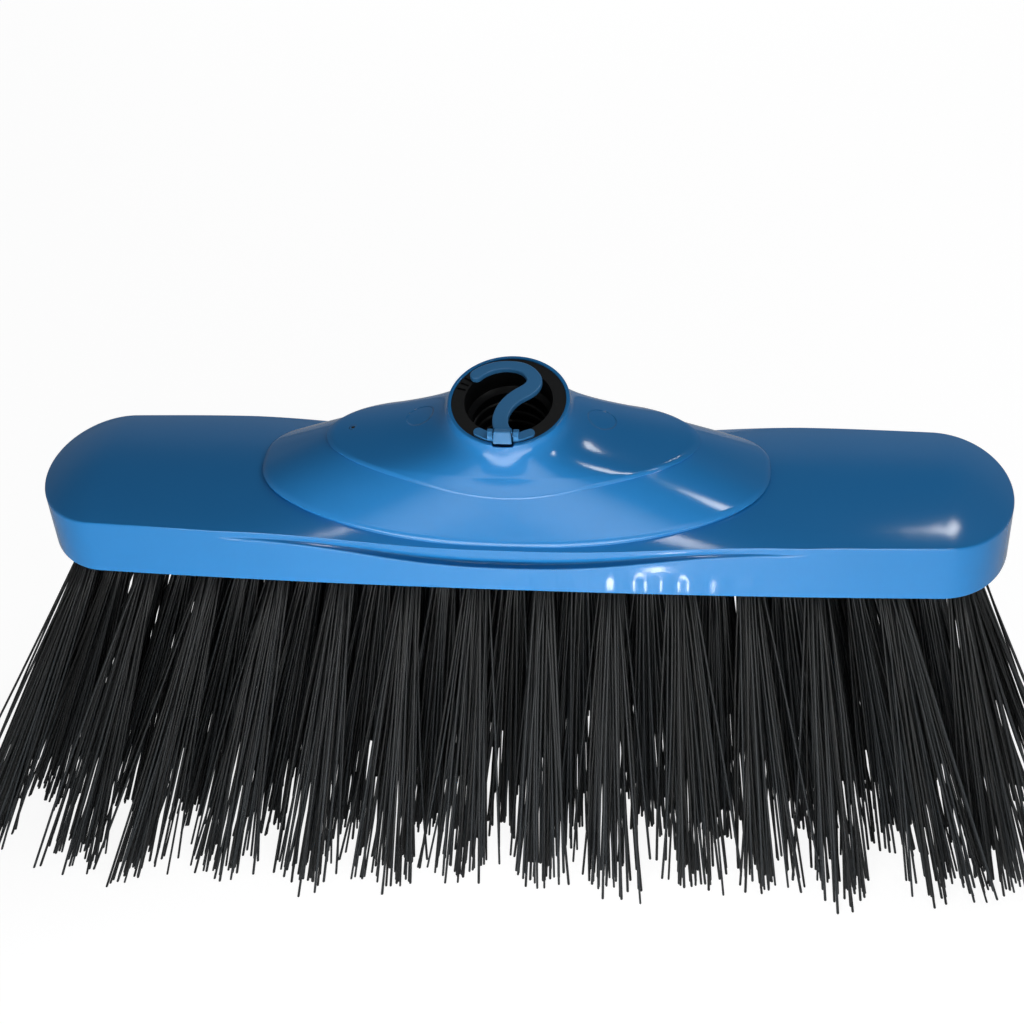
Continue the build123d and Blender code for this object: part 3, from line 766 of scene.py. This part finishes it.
def white_floor():
    """Plain white; the camera sees it lightened so that it stays white under the object's shadow."""
    corners = [(x * FLOOR_HALF, y * FLOOR_HALF, FLOOR_Z) for x, y in ((-1, -1), (1, -1), (1, 1), (-1, 1))]
    floor = make_piece("floor", corners, [[0, 1, 2, 3]], smooth=False)
    material, tree, output = new_material("white_floor")
    path = add_node(tree, "ShaderNodeLightPath")
    diffuse = add_node(tree, "ShaderNodeBsdfDiffuse", {"Color": (0.85, 0.85, 0.85, 1)})
    glow = add_node(tree, "ShaderNodeEmission", {"Color": (1, 1, 1, 1), "Strength": FLOOR_GLOW})
    part = compute(tree, "MULTIPLY", path.outputs["Is Camera Ray"], GLOW_SHARE)
    mixed = add_node(tree, "ShaderNodeMixShader", {}, {0: part, 1: diffuse.outputs[0], 2: glow.outputs[0]})
    tree.links.new(mixed.outputs[0], output.inputs["Surface"])
    finish_with(material, floor)


def studio_world():
    """The camera sees white; the head sees a bright front below the ceiling and a dim wall beyond."""
    world = bpy.data.worlds.new("studio")
    bpy.context.scene.world = world
    world.use_nodes = True
    tree = world.node_tree
    tree.nodes.clear()
    camera_ray = add_node(tree, "ShaderNodeLightPath").outputs["Is Camera Ray"]
    toward = add_node(tree, "ShaderNodeTexCoord").outputs["Generated"]
    parts = add_node(tree, "ShaderNodeSeparateXYZ", {}, {0: toward})
    front = ramp(tree, parts.outputs["Y"], -0.88, -1.0, 0.0, 2.0)
    below_ceiling = ramp(tree, parts.outputs["Z"], 0.35, 0.75, 1.0, 0.0)
    far_wall = ramp(tree, parts.outputs["Z"], 0.3, 0.75, 0.24, 0.1)
    brightness = compute(tree, "ADD", compute(tree, "MULTIPLY", front, below_ceiling), far_wall)
    room = add_node(tree, "ShaderNodeBackground", {"Color": (0.97, 0.99, 1.0, 1)}, {"Strength": brightness})
    white = add_node(tree, "ShaderNodeBackground", {"Color": (1, 1, 1, 1), "Strength": 1.0})
    sides = {0: camera_ray, 1: room.outputs[0], 2: white.outputs[0]}
    mixed = add_node(tree, "ShaderNodeMixShader", {}, sides)
    add_node(tree, "ShaderNodeOutputWorld", {}, {"Surface": mixed.outputs[0]})


white_floor()
studio_world()


# %% [markdown]
# ### Lamps
# Glossy plastic shows its surroundings, so lamps stand where their mirror images give bright spots.
# A picture of a room could light it as well. Separate lamps can be moved one by one, and those that
# only lift a dark side are kept out of the reflections.

# %% Lights
def placed(axes, place):
    """The transform that stands at place and whose columns are the three axes."""
    return Matrix([(*row, p) for row, p in zip(axes, place)] + [(0, 0, 0, 1)])


def panel(name, place, aim, size, power, mirrored=True):
    """A rectangular lamp at place, in metres, that faces aim; glossy faces show it if mirrored."""
    lamp = bpy.data.lights.new(name, "AREA")
    lamp.shape = "RECTANGLE"
    lamp.size, lamp.size_y = size
    lamp.energy = power
    thing = bpy.data.objects.new(name, lamp)
    bpy.context.scene.collection.objects.link(thing)
    way = np.array(aim, float) - np.array(place, float)
    way /= np.linalg.norm(way)
    side = np.cross(way, (0, 0, 1))
    side /= np.linalg.norm(side)
    up = np.cross(side, way)
    thing.matrix_world = placed(np.stack([side, up, -way], 1), place)
    if not mirrored:
        thing.visible_glossy = False


WINDOWS = (  # name, spot that it lights, way from there, how far, size, power
    ("window_1", (0.027, -0.016, 0.157), (0.215, -0.27, 0.935), 0.6, (0.055, 0.085), 0.24),
    ("window_2", (0.059, -0.016, 0.147), (0.445, -0.53, 0.72), 0.25, (0.032, 0.026), 0.04),
    ("window_3", (0.118, -0.018, 0.144), (0.23, 0.27, 0.93), 0.6, (0.055, 0.09), 0.24),
    ("window_4", (0.0, -0.024, 0.14), (-0.1, -0.13, 0.985), 0.6, (0.05, 0.07), 0.16),
)
LAMPS = (  # name, place, aim, size, power, whether it is mirrored
    ("glint", (0.042, -0.15, 0.03), (0.0388, -0.0274, 0.1287), (0.005, 0.012), 0.007, True),
    ("front_floor", (0.01, -0.34, 0.012), (0.0, -0.03, 0.125), (0.5, 0.08), 0.7, True),
    ("floor_fill", (-0.01, -0.34, 0.012), (-0.01, -0.03, 0.125), (0.4, 0.08), 1.1, False),
    ("near_wall", (0.01, -0.36, 0.14), (0.01, 0.0, 0.13), (0.2, 0.1), 0.3, False),
    ("behind", (0.0, 1.2, 0.5), (0.0, 0.0, 0.14), (0.8, 0.5), 3.0, False),
    ("right_back", (0.35, 0.2, 0.55), (0.08, 0.0, 0.14), (0.3, 0.3), 0.4, False),
    ("low_sill", (0.025, -0.2, 0.12), (0.025, -0.19, 0.0), (0.12, 0.03), 0.2, True),
)
for name, spot, way, reach, size, power in WINDOWS:
    panel(name, (np.array(spot) + reach * np.array(way)).tolist(), spot, size, power)
for lamp_settings in LAMPS:
    panel(*lamp_settings)


# %% [markdown]
# ### Camera
# The head is seen from the front, from above and a little from the right. The camera could track
# an empty. Three angles and a place say the same in one line, and the tip to the side is one of them.

# %% Camera
SENSOR_MM, FOCAL_MM = 36.0, 52.734375


def look(yaw, pitch, roll, place):
    """Turn by yaw about the vertical, look down by pitch, then tip the picture by roll, in degrees."""
    yaw, pitch, roll = np.radians([yaw, pitch, roll])
    ahead = np.array([-np.sin(yaw) * np.cos(pitch), np.cos(yaw) * np.cos(pitch), -np.sin(pitch)])
    right = np.array([np.cos(yaw), np.sin(yaw), 0.0])
    up = np.cross(right, ahead)
    tipped_right = np.cos(roll) * right + np.sin(roll) * up
    tipped_up = -np.sin(roll) * right + np.cos(roll) * up
    data = bpy.data.cameras.new("camera")
    data.sensor_width = SENSOR_MM
    data.lens = FOCAL_MM
    data.clip_start = 0.02
    thing = bpy.data.objects.new("camera", data)
    bpy.context.scene.collection.objects.link(thing)
    thing.matrix_world = placed(np.stack([tipped_right, tipped_up, -ahead], 1), place)
    return thing


bpy.context.scene.camera = look(8.86, 41.97, -4.32, (0.0489, -0.3225, 0.4220))

# %% [markdown]
# ## Finish
# The picture keeps the standard view transform.

# %% Finish
bpy.context.scene.view_settings.view_transform = "Standard"
